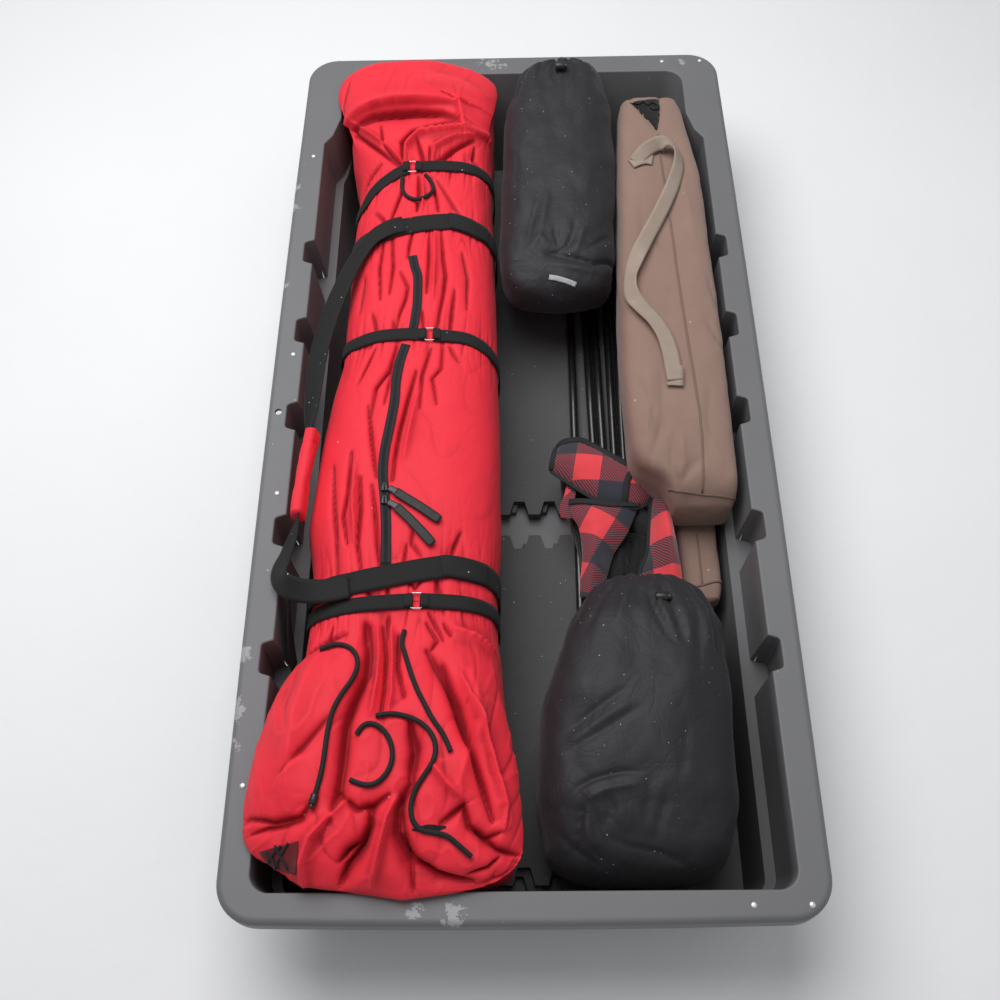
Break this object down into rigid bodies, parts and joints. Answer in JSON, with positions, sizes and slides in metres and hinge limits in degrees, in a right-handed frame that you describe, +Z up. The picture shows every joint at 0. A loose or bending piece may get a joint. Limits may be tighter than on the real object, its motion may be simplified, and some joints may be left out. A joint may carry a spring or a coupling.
{
  "type": "packed ice fishing hut on a tow sled",
  "caption": "Moulded tow sled tub holding a folded ice fishing hut in its bag, with foam floor tiles, stuff sacks, a folded chair and canvas bags.",
  "frame": {"origin": "on the ground under the middle of the sled", "axes": "+Y along the sled to its far, narrower end, +X to the side of the canvas bags, +Z up"},
  "size_m": [0.8596, 1.7349, 0.3213],
  "materials": {
    "tub_plastic": "moulded polyethylene, satin",
    "foam": "closed-cell foam with a pressed weave",
    "red_cloth": "coated polyester weave",
    "black_webbing": "woven webbing",
    "buckle_steel": "wire loop buckles",
    "zip_tape": "woven zip tape",
    "slider_metal": "black enamel",
    "pull_rubber": "moulded rubber",
    "toggle_plastic": "moulded plastic",
    "black_cord": "braided cord",
    "black_nylon": "coated nylon",
    "tube_paint": "black powder coat",
    "check_cloth": "red and black checked weave",
    "tan_webbing": "woven webbing",
    "brown_canvas": "coated canvas"
  },
  "bodies": {
    "root": {"canvas_bag_handle": "tan_webbing", "canvas_bag_lower": "brown_canvas", "canvas_bag_upper": "brown_canvas", "carry_band_far": "black_webbing", "carry_band_near": "black_webbing", "carry_handle_far": "black_webbing", "carry_handle_near": "black_webbing", "chair_seat_cloth": "check_cloth", "chair_tube_1": "tube_paint", "chair_tube_2": "tube_paint", "chair_tube_3": "tube_paint", "chair_tube_4": "tube_paint", "chair_tube_5": "tube_paint", "compression_strap_1": "black_webbing", "compression_strap_2": "black_webbing", "compression_strap_3": "black_webbing", "drawcord_curl": "black_cord", "drawcord_left": "black_cord", "drawcord_lock": "toggle_plastic", "drawcord_long": "black_cord", "drawcord_right": "black_cord", "foam_tile_far_bottom": "foam", "foam_tile_far_top": "foam", "foam_tile_near_bottom": "foam", "foam_tile_near_top": "foam", "handle_grip": "red_cloth", "hut_bag_body": "red_cloth", "hut_bag_far_end": "red_cloth", "hut_bag_near_end": "red_cloth", "sack_toggle_far": "toggle_plastic", "sack_toggle_near": "toggle_plastic", "sled_tub": "tub_plastic", "strap_buckle_1": "buckle_steel", "strap_buckle_2": "buckle_steel", "strap_buckle_3": "buckle_steel", "strap_tail_loop": "black_cord", "stuff_sack_far": "black_nylon", "stuff_sack_near": "black_nylon", "zip_pull_1": "pull_rubber", "zip_pull_2": "pull_rubber", "zip_slider_1": "slider_metal", "zip_slider_2": "slider_metal", "zip_tape": "zip_tape"}
  },
  "joints": []
}
